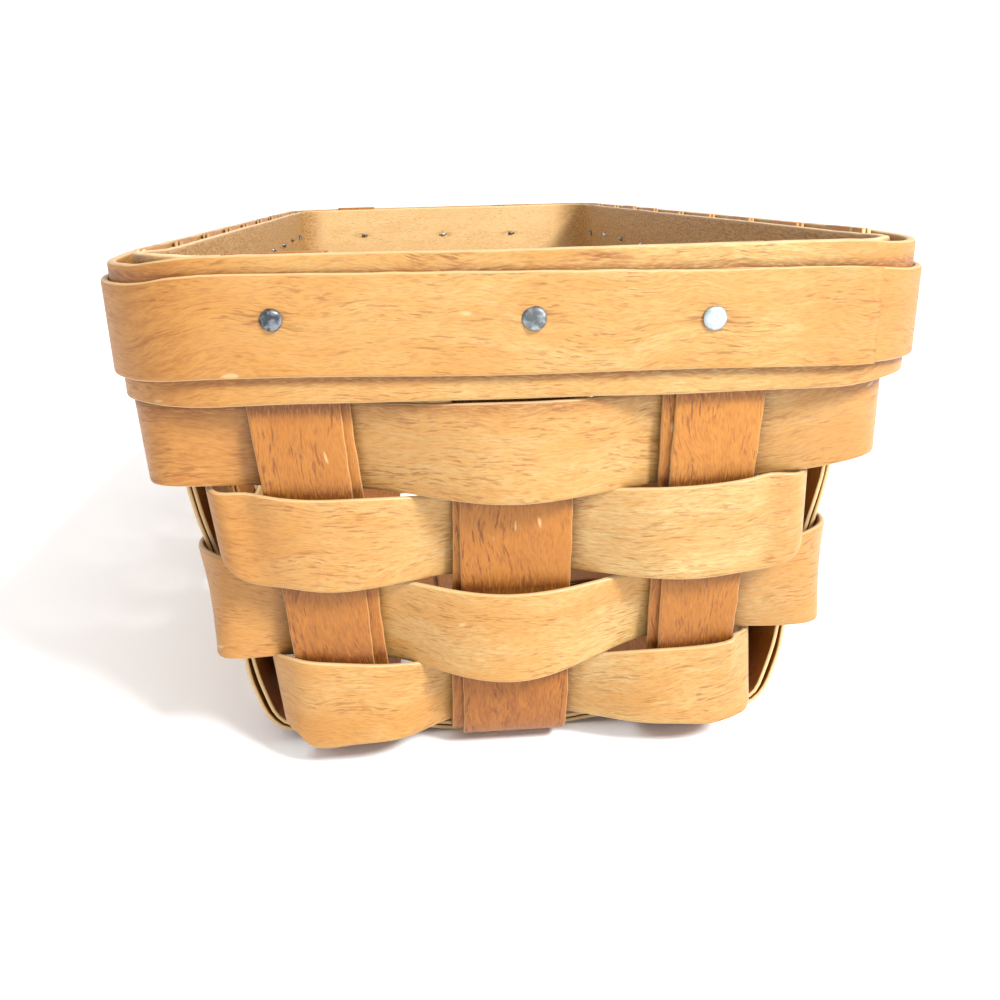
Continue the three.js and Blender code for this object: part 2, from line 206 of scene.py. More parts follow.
# Seeds that give each piece a grain of its own
GRAIN_SEEDS = {"band": 1.0, "weaver": 10.0, "long": 20.0, "cross": 30.0}
INNER_PLY_SEED = 0.5

# How far painted shade reaches from the edges where it falls: beside splints, under the rim and along the
# trim
WEAVE_SHADE_REACH = 0.0016
TRIM_SHADE_REACH = 0.0007


def wall_inset(z, lean):
    beside_band = (RIM_HEIGHT - max(z, BAND_FOOT)) * math.tan(lean["band"])
    below_band = max(BAND_FOOT - z, 0) * math.tan(lean["body"])
    return beside_band + below_band


def half_width(z, inset):
    return RIM_WIDTH / 2 - wall_inset(z, SIDE_LEAN) - inset


def half_length(z, inset):
    return RIM_LENGTH / 2 - wall_inset(z, END_LEAN) - inset


class Outline:
    """A wall's outline at one height: a rectangle with round corners, walked by its length from the
    left end of the near straight, anticlockwise from above."""

    def __init__(self, z, inset, radius):
        x = half_width(z, inset) - radius
        y = half_length(z, inset) - radius
        self.radius = radius
        self.quarter = math.pi / 2 * radius
        self.sides = [
            {"start": Vector((-x, -y)), "along": Vector((1, 0)), "length": 2 * x},
            {"start": Vector((x, -y)), "along": Vector((0, 1)), "length": 2 * y},
            {"start": Vector((x, y)), "along": Vector((-1, 0)), "length": 2 * x},
            {"start": Vector((-x, y)), "along": Vector((0, -1)), "length": 2 * y},
        ]
        walked = 0
        for side in self.sides:
            side["begins"] = walked
            side["out"] = Vector((side["along"].y, -side["along"].x))
            walked += side["length"] + self.quarter
        self.total = walked

    def at(self, distance, offset, height):
        place = distance % self.total
        side = [s for s in self.sides if s["begins"] <= place][-1]
        along = min(place - side["begins"], side["length"])
        turn = (place - side["begins"] - along) / self.radius
        out = side["out"] * math.cos(turn) + side["along"] * math.sin(turn)
        point = side["start"] + side["along"] * along + out * (self.radius + offset)
        return Vector((point.x, point.y, height))

    def corners(self):
        """Where the corners' middles are: near right, far right, far left, near left."""
        return [side["begins"] + side["length"] + self.quarter / 2 for side in self.sides]

    def across(self, x):
        """The distances at which a place across the basket meets the near and the far wall."""
        near, _, far, _ = self.sides
        return near["begins"] + x - near["start"].x, far["begins"] + far["start"].x - x

    def along(self, y):
        """The distances at which a place along the basket meets the right and the left wall."""
        _, right, _, left = self.sides
        return right["begins"] + y - right["start"].y, left["begins"] + left["start"].y - y


class Splint:
    """A splint bent from rim to rim. Each pair is its value at the rim and at the bottom: the middle's
    place, the width, and how far the inner ply peeks out sideways."""

    def __init__(self, name, middle, width, peek):
        self.name = name
        self.pairs = {"middle": middle, "width": width, "peek": peek}

    def value(self, key, z):
        at_rim, at_foot = self.pairs[key]
        return at_foot + (at_rim - at_foot) * z / RIM_HEIGHT


LONG_SPLINTS = [
    Splint("left", (-0.0361, -0.0302), (0.0142, 0.0124), (0.0008, 0.0026)),
    Splint("middle", (-0.0019, -0.0018), (0.0177, 0.0177), (-0.0003, -0.0020)),
    Splint("right", (0.0292, 0.0282), (0.0142, 0.0122), (-0.0017, -0.0016)),
]
OUTERMOST_CROSS = half_length(0, CROSS_SPLINT_CORNER_GAP) - CROSS_SPLINT_WIDTH / 2
CROSS_PITCH = 2 * OUTERMOST_CROSS / (CROSS_SPLINTS - 1)

# A splint's number in the weave: the lengthwise ones from the left, then the crosswise ones
FIRST_CROSS_NUMBER = len(LONG_SPLINTS)
LAST_CROSS_NUMBER = FIRST_CROSS_NUMBER + CROSS_SPLINTS - 1


def cross_splint(i):
    place = i * CROSS_PITCH - OUTERMOST_CROSS
    if i == 0:
        foot, width, peek = place - FIRST_FOOT_SHIFT, CROSS_SPLINT_WIDTH, 0
    else:
        rng = random.Random(f"cross splint {i}")
        foot = place
        peek = rng.uniform(-CROSS_PEEK, CROSS_PEEK)
        width = CROSS_SPLINT_WIDTH - rng.uniform(0, CROSS_WIDTH_LOSS)
    return Splint(str(i + 1), (place, foot), (width, width), (peek, peek))


CROSS = [cross_splint(i) for i in range(CROSS_SPLINTS)]


def lerp(a, b, t):
    return a + (b - a) * t


def clamp(value):
    return min(max(value, 0.0), 1.0)


def smooth(value):
    t = clamp(value)
    return t * t * (3 - 2 * t)


def fade(value, start, length):
    """Smoothly from 0 at the start to 1 a length further on."""
    return smooth((value - start) / length)


def wobble(seed, size, longest, shortest, waves=4):
    """A smooth hand-made unevenness along a length, the same each time for the same seed."""
    least_share = 0.4
    last_phase = 6.3
    rng = random.Random(seed)
    terms = []
    for _ in range(waves):
        length = rng.uniform(shortest, longest)
        height = rng.uniform(least_share, 1.0) * size / waves
        terms.append((height, 2 * math.pi / length, rng.uniform(0, last_phase)))
    return lambda s: sum(a * math.sin(k * s + phase) for a, k, phase in terms)


def eased(keys, total):
    """A value that goes smoothly through (distance, value) keys round a closed length."""
    keys = sorted((at % total, value) for at, value in keys)
    places = [at for at, _ in keys]

    def value(distance):
        place = distance % total
        i = bisect.bisect_right(places, place) - 1
        here, there = keys[i], keys[(i + 1) % len(keys)]
        span = (there[0] - here[0]) % total
        return lerp(here[1], there[1], smooth(((place - here[0]) % total) / span))

    return value


def closed_curve(points, step):
    """The smoothest closed curve through rows of points. A row holds a lower and an upper point."""
    count = len(points)
    middles = (points[:, :3] + points[:, 3:]) / 2
    spans = np.linalg.norm(np.roll(middles, -1, axis=0) - middles, axis=1)
    system = np.zeros((count, count))
    wanted = np.zeros_like(points)
    for i in range(count):
        before, after = (i - 1) % count, (i + 1) % count
        system[i, before] += spans[before]
        system[i, i] += 2 * (spans[before] + spans[i])
        system[i, after] += spans[i]
        ahead = (points[after] - points[i]) / spans[i]
        behind = (points[i] - points[before]) / spans[before]
        wanted[i] = 6 * (ahead - behind)
    bend = np.linalg.solve(system, wanted)
    curve = []
    for i in range(count):
        after = (i + 1) % count
        steps = max(2, math.ceil(spans[i] / step))
        for k in range(steps):
            b = k / steps
            a = 1 - b
            bent = ((a**3 - a) * bend[i] + (b**3 - b) * bend[after]) * spans[i] ** 2 / 6
            curve.append(a * points[i] + b * points[after] + bent)
    return [(Vector(row[:3]), Vector(row[3:])) for row in curve]


def from_place(pairs, x, y):
    """A closed run of pairs turned so that it starts nearest to a place."""
    start = min(range(len(pairs)), key=lambda i: math.hypot(pairs[i][0].x - x, pairs[i][0].y - y))
    return pairs[start:] + pairs[:start]


def walked_lengths(pairs):
    lengths = [0.0]
    for before, here in zip(pairs, pairs[1:]):
        lengths.append(lengths[-1] + (here[0] + here[1] - before[0] - before[1]).length / 2)
    return lengths


def neighbours(items, i):
    """The items before and after one in an open run. At an end it is its own neighbour."""
    return items[max(i - 1, 0)], items[min(i + 1, len(items) - 1)]


def outward_of(pairs, i):
    before, after = neighbours(pairs, i)
    along = after[0] + after[1] - before[0] - before[1]
    return along.cross(pairs[i][1] - pairs[i][0]).normalized()


def strip_section(width, thickness, steps):
    """A strip's cross-section as (across, outward, place on the grain, how far on a cut edge)."""
    rounding_share = 0.4
    most_rounding = 0.0004
    r = min(thickness * rounding_share, most_rounding)
    half = thickness / 2
    support = 0.0003
    other_face = 0.05
    face = [r, r + support]
    face += [lerp(r + support, width - r - support, k / steps) for k in range(1, steps)]
    face += [width - r - support, width - r]
    arc = [(r * math.sin(p), r * math.cos(p), r * p) for p in (math.radians(45), math.radians(85))]
    points = [(a, half, a - width / 2, 0.0) for a in face]
    points += [(width - r + a, half - r + n, width / 2 + s, 1.0) for a, n, s in arc]
    points += [(width - r + a, r - half - n, width / 2 + s + half, 1.0) for a, n, s in reversed(arc)]
    points += [(a, -half, other_face + a - width / 2, 0.0) for a in reversed(face)]
    points += [(r - a, r - half - n, -width / 2 - s - half, 1.0) for a, n, s in arc]
    points += [(r - a, half - r + n, -width / 2 - s, 1.0) for a, n, s in reversed(arc)]
    return points


def mark_offsets(marks, pairs, lengths):
    """Each mark as its place along a strip and across it."""
    found = []
    for mark in marks:
        i = min(range(len(pairs)), key=lambda k: ((pairs[k][0] + pairs[k][1]) / 2 - mark).length)
        lower, upper = pairs[i]
        away = mark - (lower + upper) / 2
        before, after = neighbours(pairs, i)
        ahead = (after[0] - before[0]).normalized()
        found.append((lengths[i] + away.dot(ahead), away.dot((upper - lower).normalized())))
    return found


def outer_browning_and_shade(place):
    """How brown the wood is: at the corners partly a handling patina and partly painted shade, and painted
    shade on the left side, most of all high on the left.
    """
    corner_reach, corner_share = 0.03, 0.8
    left_shade_share, high_left_shade_share = 0.1, 0.35
    beside = abs(place.x) - half_width(place.z, 0)
    beyond = abs(place.y) - half_length(place.z, 0)
    corner = 1 - smooth(math.hypot(beside, beyond) / corner_reach)
    left = smooth(0.5 - place.x / RIM_WIDTH)
    high = fade(place.z, 0.02, 0.04)
    return corner_share * corner + (left_shade_share + high_left_shade_share * high) * left


def splint_browning_and_shade(place):
    """Painted shade makes a splint darker and browner towards its foot."""
    foot_height, foot_shade_share = 0.06, 0.9
    return outer_browning_and_shade(place) + foot_shade_share * (1 - smooth(place.z / foot_height))


def weaver_browning_and_shade(place):
    """A weaver is painted browner just under the rim as painted shade, and paler near the bottom."""
    rim_shade_share = 0.2
    bottom_height, bottom_share = 0.035, 0.25
    under_rim = fade(place.z, 0.045, 0.015)
    paler = bottom_share * (1 - smooth(place.z / bottom_height))
    return outer_browning_and_shade(place) * (1 + rim_shade_share * under_rim) - paler


def inner_band_side_shade(place):
    """Painted shade: the inner band is painted brown along its two long sides."""
    return fade(abs(place.x), 0.045, 0.012)


def passes_outside(row, number):
    """Whether a weaver passes outside a splint. It does so at every other one, and each row is shifted."""
    return (number + row) % 2 == 0


def row_levels(row):
    """A weaver's even lower and upper level."""
    above = sum(ROW_HEIGHTS[: row - 1])
    return BAND_FOOT - above - ROW_HEIGHTS[row - 1], BAND_FOOT - above - ROW_GAP


def painted_shade_at(gaps, reach):
    """How much painted shade a place gets, from its gaps to the edges where shade falls."""
    return max((math.exp(-((gap / reach) ** 2)) for gap in gaps), default=0.0)


def weaver_painted_shade(row):
    """Painted shade on a weaver beside the splints that it passes behind, and under the rim."""

    def painted_shade(place):
        on_end = half_length(place.z, 0) - abs(place.y) < half_width(place.z, 0) - abs(place.x)
        splints, first = (LONG_SPLINTS, 0) if on_end else (CROSS, FIRST_CROSS_NUMBER)
        spot = place.x if on_end else place.y
        gaps = [BAND_FOOT - place.z] if row == 1 else []
        for number, splint in enumerate(splints, first):
            if not passes_outside(row, number):
                away = abs(spot - splint.value("middle", place.z))
                gaps.append(away - splint.value("width", place.z) / 2)
        return painted_shade_at(gaps, WEAVE_SHADE_REACH)

    return painted_shade


def splint_painted_shade(number):
    """Painted shade on a splint beside the weavers that pass over it, and under the rim."""
    key = LEFT_SPLINT_RISE + number
    if number >= FIRST_CROSS_NUMBER:
        from_end = min(number - FIRST_CROSS_NUMBER, LAST_CROSS_NUMBER - number)
        key = FIRST_CROSS_RISE + min(from_end, 2)
    edges = [BAND_FOOT]
    for row in range(1, ROWS + 1):
        if passes_outside(row, number):
            lower, upper = row_levels(row)
            edges += [lower + LOWER_RISES[row - 1][key] * MM, upper + TOP_RISES[row - 1][key] * MM]
    return lambda place: painted_shade_at([place.z - edge for edge in edges], WEAVE_SHADE_REACH)


def wide_band_painted_shade(place):
    """Painted shade on the wide band along both edges of the trim."""
    top = RIM_HEIGHT - TRIM_BAND["drop"] - TRIM_BAND["slope"] * place.x
    return painted_shade_at([place.z - top, place.z - top + TRIM_BAND["height"]], TRIM_SHADE_REACH)


# No painted shade on this piece.
def unshaded(place):
    return 0.0


def strip_object(name, pairs, thickness, steps, seed, browning_and_shade, painted_shade, marks=()):
    """A strip swept through pairs of edge points. Thickness is one value, or one for each pair."""
    lengths = walked_lengths(pairs)
    thicknesses = thickness if isinstance(thickness, list) else [thickness] * len(pairs)
    spots = mark_offsets(marks, pairs, lengths)
    mark_range = 0.0075
    vertices = []
    # Per vertex: cut_edge, the brown amount (partly real browning, partly painted shade) and the painted
    # shade in recesses.
    numbers = {"cut_edge": [], "brown": [], "dirt": []}
    vectors = {"strip": [], "mark": []}
    for i, (lower, upper) in enumerate(pairs):
        outward = outward_of(pairs, i)
        width = (upper - lower).length
        across = (upper - lower) / width
        brown_here = clamp(browning_and_shade((lower + upper) / 2))
        spot = min(spots, key=lambda m: abs(lengths[i] - m[0])) if spots else None
        for a, n, grain, on_edge in strip_section(width, thicknesses[i], steps):
            vertices.append(lower + across * a + outward * n)
            vectors["strip"].extend((lengths[i], grain, seed))
            numbers["cut_edge"].append(on_edge)
            numbers["brown"].append(brown_here)
            numbers["dirt"].append(painted_shade(vertices[-1]))
            if spot:
                near = clamp(1.5 - abs(lengths[i] - spot[0]) / mark_range)
                vectors["mark"].extend((lengths[i] - spot[0], a - width / 2 - spot[1], near))
    ring = len(vertices) // len(pairs)
    faces = []
    for i in range(len(pairs) - 1):
        here, there = i * ring, (i + 1) * ring
        for k in range(ring):
            m = (k + 1) % ring
            faces.append((here + k, there + k, there + m, here + m))
    faces.append(tuple(range(ring)))
    faces.append(tuple(reversed(range(len(vertices) - ring, len(vertices)))))
    mesh = bpy.data.meshes.new(name)
    mesh.from_pydata(vertices, [], faces)
    for key, values in numbers.items():
        mesh.attributes.new(key, "FLOAT", "POINT").data.foreach_set("value", values)
    for key, values in vectors.items():
        if values:
            mesh.attributes.new(key, "FLOAT_VECTOR", "POINT").data.foreach_set("vector", values)
    return finished_object(name, mesh)


def linked_object(name, data):
    made = bpy.data.objects.new(name, data)
    bpy.context.collection.objects.link(made)
    return made


def finished_object(name, mesh):
    """The mesh as an object, with its faces turned outward and shaded smooth."""
    work = bmesh.new()
    work.from_mesh(mesh)
    bmesh.ops.recalc_face_normals(work, faces=work.faces)
    work.to_mesh(mesh)
    work.free()
    mesh.shade_smooth()
    return linked_object(name, mesh)


def place_piece(piece, node, material):
    piece.data.materials.append(material)
    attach(piece, "root")
    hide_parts(node)


def crossings(outline, z):
    """Every splint that a weaver meets: (distance, number, room before, room after)."""
    found = []
    for number, splint in enumerate(LONG_SPLINTS + CROSS):
        walls = outline.across if number < FIRST_CROSS_NUMBER else outline.along
        half = splint.value("width", z) / 2 + LAY_GAP
        peek = splint.value("peek", z)
        for distance, ahead in zip(walls(splint.value("middle", z)), (peek, -peek)):
            found.append((distance, number, half + max(-ahead, 0), half + max(ahead, 0)))
    return found


def shoulder_x(z, right):
    """How far from the middle a weaver is just past the left or right splint."""
    splint = LONG_SPLINTS[2 if right else 0]
    return abs(splint.value("middle", z)) + splint.value("width", z) / 2 + SHOULDER


def rise_line(outline, z, rises):
    """How far a weaver's edge lies above its even level, all the way round."""
    heights = [r * MM for r in rises]
    left_corner, left_past, left, middle, right, right_past, right_corner = heights[:FIRST_CROSS_RISE]
    first, second, others = heights[FIRST_CROSS_RISE:]
    side = [first, second] + [others] * (CROSS_SPLINTS - 4) + [second, first]
    values = [left, middle, right] + side
    keys = [(distance, values[number]) for distance, number, _, _ in crossings(outline, z)]
    keys += zip(outline.corners(), (right_corner, right_corner, left_corner, left_corner))
    keys += [(distance, left_past) for distance in outline.across(-shoulder_x(z, False))]
    keys += [(distance, right_past) for distance in outline.across(shoulder_x(z, True))]
    return eased(keys, outline.total)


def bend_points(outline, z, bend, rises, rise):
    """An even weaver's sharp bends at the corners, as (distance, point): a straight run in from the left
    or right splint, the bend, and a straight run back to the far edge of the first crosswise splint."""
    left_in, right_in, out = bend
    far_edge = abs(CROSS[0].value("middle", z)) - CROSS_SPLINT_WIDTH / 2
    tight = 0.0011
    back_run = 0.007
    least_run = 0.0025
    points = []
    signs = ((1, -1), (1, 1), (-1, 1), (-1, -1))
    for distance, (x_sign, y_sign) in zip(outline.corners(), signs):
        right = x_sign > 0
        x = half_width(z, STACK_INSET) - (right_in if right else left_in)
        y = half_length(z, STACK_INSET) + out
        back = Vector((half_width(z, STACK_INSET) - NEAREST - x, far_edge - y)).normalized()
        past = rises[PAST_RIGHT_RISE if right else PAST_LEFT_RISE] * MM
        height = rise(distance)
        run_in = shoulder_x(z, right)
        spots = [
            (-1, x - tight, y + tight * 0.1, lerp(past, height, 0.6)),
            (1, x + back.x * tight, y + back.y * tight, height),
            (2, x + back.x * back_run, y + back.y * back_run, height),
        ]
        if x - run_in > least_run:
            spots.append((-2, run_in, y + 0.1 * MM, past))
        turning = 1 if x_sign * y_sign < 0 else -1
        for order, px, py, lift in spots:
            spot = Vector((x_sign * px, y_sign * py, z + lift))
            points.append((distance + order * turning * MM, spot))
    return points


def weaver_edge(row, z, edge, rises):
    """The points that one edge of a weaver goes through, in order round the basket."""
    corner_outside = passes_outside(row, FIRST_CROSS_NUMBER)
    radius = WEAVER_CORNER_RADIUS["outside" if corner_outside else "inside"]
    outline = Outline(z, STACK_INSET, radius)
    rise = rise_line(outline, z, rises)
    keys = []
    if corner_outside:
        left, right = edge["corner"][row]
        keys += zip(outline.corners(), (right, right, left, left))
    for distance, number, before, after in crossings(outline, z):
        outside = passes_outside(row, number)
        reach = edge["outside"] if outside else -edge["inside"]
        bulge = edge["bulge"] + (edge["middle_bulge"].get(row, 0) if number == MIDDLE else 0)
        beside_bend = not corner_outside and number in (FIRST_CROSS_NUMBER, LAST_CROSS_NUMBER)
        on_right = distance < outline.sides[2]["begins"]
        far_key_after = (number == FIRST_CROSS_NUMBER) == on_right
        if not beside_bend or not far_key_after:
            keys.append((distance - before, reach))
        if not beside_bend:
            keys.append((distance, reach + (bulge if outside else -bulge)))
        if not beside_bend or far_key_after:
            keys.append((distance + after, reach))
    points = [(distance, outline.at(distance, offset, z + rise(distance))) for distance, offset in keys]
    if not corner_outside:
        points += bend_points(outline, z, edge["bend"][row], rises, rise)
    return [point for _, point in sorted(points, key=lambda item: item[0])]


def weaver_pairs(row):
    """One weaver as an open run that ends on the inner side of its own start, behind a splint."""
    lower_level, upper_level = row_levels(row)
    lower = weaver_edge(row, lower_level, LOWER_EDGE, LOWER_RISES[row - 1])
    upper = weaver_edge(row, upper_level, TOP_EDGE, TOP_RISES[row - 1])
    points = np.array([list(a) + list(b) for a, b in zip(lower, upper)])
    ring = closed_curve(points, STATION_STEP)
    hiding = CROSS[row + 2]
    start_y = hiding.value("middle", 0) - CROSS_SPLINT_WIDTH / 2 + MM
    ring = from_place(ring, half_width(lower_level, STACK_INSET), start_y)
    overlap = round(WEAVER_OVERLAP / STATION_STEP)
    ramp = round(WEAVER_RAMP / STATION_STEP)
    run = ring + ring[:overlap]
    lengths = walked_lengths(run)
    waves = FIRST_WEAVER_UNEVEN if row == 1 else WEAVER_UNEVEN
    uneven = [wobble(f"weaver {row} {k}", *waves) for k in range(2)]
    pairs = []
    for i, (low, high) in enumerate(run):
        inward = smooth((i - len(ring) + ramp) / ramp) * WEAVER_STEP_IN
        shift = outward_of(run, i) * -inward
        lift = [Vector((0, 0, bump(lengths[i]))) for bump in uneven]
        pairs.append((low + shift + lift[0], high + shift + lift[1]))
    return pairs


def band_rise(outline, rises):
    """How far a band's edge lies above its even level, which it keeps away from the near end."""
    near = outline.sides[0]
    left_corner, left, middle, right, right_corner = (r * MM for r in rises)
    places = [outline.across(splint.value("middle", RIM_HEIGHT))[0] for splint in LONG_SPLINTS]
    near_right, far_right, far_left, near_left = outline.corners()
    beyond = 0.03
    keys = list(zip(places, (left, middle, right)))
    keys += [(near_left, left_corner), (near_right, right_corner)]
    keys += [(near["begins"] + MM, left), (near["begins"] + near["length"] - MM, right)]
    keys += [(near_left - beyond, 0), (near_right + beyond, 0), (far_right, 0), (far_left, 0)]
    return eased(keys, outline.total)


def band_pull(outline, share):
    """The lower edge of the outer bands is drawn in a little at the near left corner."""
    on_side, on_end = 0.02, 0.025
    near_left = outline.corners()[3]
    keys = [(near_left, -BAND_CORNER_PULL * share), (near_left - on_side, 0), (near_left + on_end, 0)]
    return eased(keys, outline.total)


def band_ring(band, inset, rises):
    """A closed run of edge points round the rim."""
    middle = inset + band["thickness"] / 2
    top = RIM_HEIGHT - band["drop"]
    levels = {"lower": top - band["height"], "top": top}
    outlines = {key: Outline(z, middle, RIM_CORNER_RADIUS - middle) for key, z in levels.items()}
    rise = {key: band_rise(outlines[key], rises[key]) for key in levels}
    pull_share = {"lower": band["height"] / WIDE_BAND["height"] if inset < 0 else 0, "top": 0}
    pull = {key: band_pull(outlines[key], pull_share[key]) for key in levels}
    pairs = []
    for k in range(4):
        straight = math.ceil(outlines["lower"].sides[k]["length"] / BAND_STEP)
        turning = math.ceil(outlines["lower"].quarter / BAND_CORNER_STEP)
        shares = [(i / straight, 0) for i in range(straight)]
        shares += [(1, i / turning) for i in range(turning)]
        for side_share, corner_share in shares:
            pair = []
            for key, outline in outlines.items():
                side = outline.sides[k]
                walked = side_share * side["length"] + corner_share * outline.quarter
                distance = side["begins"] + walked
                point = outline.at(distance, pull[key](distance), levels[key] + rise[key](distance))
                point.z -= band["slope"] * point.x
                pair.append(point)
            pairs.append(tuple(pair))
    return pairs


def joined_band(band, inset, rises, name, start, start_outside):
    """A band with its two ends shaved thin and laid over each other, from a place on."""
    ring = from_place(band_ring(band, inset, rises), *start)
    count = sum(1 for s in walked_lengths(ring) if s < JOINT_LENGTH)
    run = ring + ring[:count]
    lengths = walked_lengths(run)
    edges = [wobble(f"{name} edge {k}", *BAND_UNEVEN) for k in range(2)]
    fray = wobble(f"{name} fray", *BAND_FRAY)
    full = band["thickness"]
    thinnest = 0.07
    raised = 0.1
    outer_taper = 1.3 * JOINT_LENGTH
    pairs = []
    thicknesses = []
    for i, (low, high) in enumerate(run):
        s = lengths[i]
        ends = (s, lengths[-1] - s) if start_outside else (lengths[-1] - s, s)
        outer_share = clamp(ends[0] / outer_taper)
        inner_share = 1 - clamp(ends[1] / JOINT_LENGTH)
        thickness = full * lerp(thinnest, 1, outer_share) * lerp(1, thinnest / 2, inner_share)
        outer_face = full * (0.5 + raised * (1 - outer_share))
        shift = outer_face - thickness / 2 if outer_share < 1 else thickness / 2 - full / 2
        away = outward_of(run, i) * shift
        low = low + away + Vector((0, 0, edges[0](s)))
        high = high + away + Vector((0, 0, edges[1](s) + fray(s)))
        pairs.append((low, high))
        thicknesses.append(thickness)
    return pairs, thicknesses


def corner_arc(before, corner, after, radius):
    """Points on the arc that rounds a corner between two straight lines."""
    towards = (before - corner).normalized()
    away = (after - corner).normalized()
    half_angle = towards.angle(away) / 2
    centre = corner + (towards + away).normalized() * radius / math.sin(half_angle)
    spoke = corner + towards * radius / math.tan(half_angle) - centre
    turn = math.pi - 2 * half_angle
    steps = 8
    return [centre + Matrix.Rotation(turn * k / steps, 2) @ spoke for k in range(steps + 1)]


def mirrored(points):
    """The points in the opposite order on the opposite side."""
    return [Vector((-p.x, p.y)) for p in reversed(points)]


def splint_path(half_size, crossed, radius, proud, number):
    """The line of a splint's middle in its own plane, from rim to rim, as (sideways, height)."""
    top = RIM_HEIGHT + proud
    tuck = FIRST_FOOT_TUCK if number == FIRST_CROSS_NUMBER else 0
    insets = ((top, 0), (BAND_FOOT, 0), (DOWN_LEVEL, tuck))
    wall = [Vector((-half_size(z, STACK_INSET + inset), z)) for z, inset in insets]
    bottom = [Vector(point) for crossing in crossed for point in crossing]
    first = corner_arc(wall[1], wall[2], bottom[0], radius)
    last = mirrored(corner_arc(wall[1], wall[2], mirrored(bottom)[0], radius))
    points = resampled(wall[:2] + first + bottom + last + mirrored(wall[:2]), STATION_STEP)
    smoothings = 3
    for _ in range(smoothings):
        inner = [(a + 2 * b + c) / 4 for a, b, c in zip(points, points[1:], points[2:])]
        points = [points[0]] + inner + [points[-1]]
    return [bowed(point, number) for point in points]


def bowed(point, number):
    """A splint is pushed a little out where a weaver passes inside it, and in where it passes outside."""
    row_top = BAND_FOOT
    for row, height in enumerate(ROW_HEIGHTS, 1):
        if row_top - height < point.y <= row_top:
            push = PUSH_IN if passes_outside(row, number) else PUSH_OUT
            if row == ROWS and number == MIDDLE:
                push = MIDDLE_FOOT_PUSH
            swell = math.sin(math.pi * (row_top - point.y) / height) ** 2
            outward = 1 if point.x > 0 else -1
            return Vector((point.x + outward * push * swell, point.y))
        row_top -= height
    return point


def resampled(points, step):
    """A line through the points again, with points about one step apart."""
    lengths = [0.0]
    for a, b in zip(points, points[1:]):
        lengths.append(lengths[-1] + (b - a).length)
    count = math.ceil(lengths[-1] / step)
    out = []
    for k in range(count + 1):
        s = lengths[-1] * k / count
        i = min(max(bisect.bisect_right(lengths, s), 1), len(lengths) - 1)
        span = lengths[i] - lengths[i - 1]
        out.append(points[i - 1].lerp(points[i], (s - lengths[i - 1]) / span if span else 0.0))
    return out


def plateau(splint, up):
    """Where a splint on the bottom passes above or below another: level over the other's width."""
    level = UP_LEVEL if up else DOWN_LEVEL
    half = splint.value("width", 0) / 2 + LAY_GAP
    middle = splint.value("middle", 0)
    peek = splint.value("peek", 0)
    return ((middle - half + min(peek, 0), level), (middle + half + max(peek, 0), level))


def ply_pairs(path, splint, outer, to_world, name, spread):
    """Edge points of one ply. The outer ply stands off a little more at the bends."""
    uneven = [wobble(f"{name} {k}", *PLY_UNEVEN) for k in range(2)]
    rag = [wobble(f"{name} rag {k}", *PLY_RAG) for k in range(2)]
    bend_height, bend_reach = 0.010, 0.008
    off = (PLY_GAP + PLY_THICKNESS) / 2
    pairs = []
    for i, point in enumerate(path):
        before, after = neighbours(path, i)
        heading = (after - before).normalized()
        outward = Vector((heading.y, -heading.x))
        near_bend = math.exp(-(((point.y - bend_height) / bend_reach) ** 2)) * abs(outward.x)
        spot = point + outward * (off + spread * near_bend if outer else -off)
        middle = splint.value("middle", spot.y) + (0 if outer else splint.value("peek", spot.y))
        half = splint.value("width", spot.y) / 2
        s = i * STATION_STEP
        left = middle - half + uneven[0](s) + rag[0](s)
        right = middle + half + uneven[1](s) + rag[1](s)
        pairs.append((to_world(spot, left), to_world(spot, right)))
    return pairs


def tack_object(name, matrix, tilt, radius, turn):
    """A flat-domed tack head, a little dented and tilted, and its point bent over on the inner band."""
    work = bmesh.new()
    around = 24
    dent = 0.00007
    tilted = Matrix.Rotation(tilt[0], 4, "X") @ Matrix.Rotation(tilt[1], 4, "Y")
    lumps = wobble(f"{name} lumps", *TACK_LUMPS)
    profile = ((0.0, 0.85), (0.4, 0.95), (0.7, 0.9), (0.88, 0.72), (0.97, 0.45), (1.0, 0.2), (0.97, 0.02))
    rings = []
    for share, height in profile:
        ring = []
        for k in range(1 if share == 0 else around):
            angle = 2 * math.pi * k / around
            reach = share * (radius + lumps(angle))
            rise = height * TACK_HEAD_HEIGHT + dent * math.sin(2.1 * angle + 5 * height) * share
            spot = Vector((math.cos(angle) * reach, math.sin(angle) * reach, rise))
            ring.append(work.verts.new(matrix @ (tilted @ spot)))
        rings.append(ring)
    for k in range(around):
        work.faces.new((rings[0][0], rings[1][k], rings[1][(k + 1) % around]))
    add_tube(work, rings[1:])
    work.faces.new(list(reversed(rings[-1])))
    add_clinched_shank(work, matrix, turn)
    mesh = bpy.data.meshes.new(name)
    work.to_mesh(mesh)
    work.free()
    return finished_object(name, mesh)


def add_tube(work, rings):
    for low, high in zip(rings, rings[1:]):
        for k in range(len(low)):
            m = (k + 1) % len(low)
            work.faces.new((low[k], high[k], high[m], low[m]))


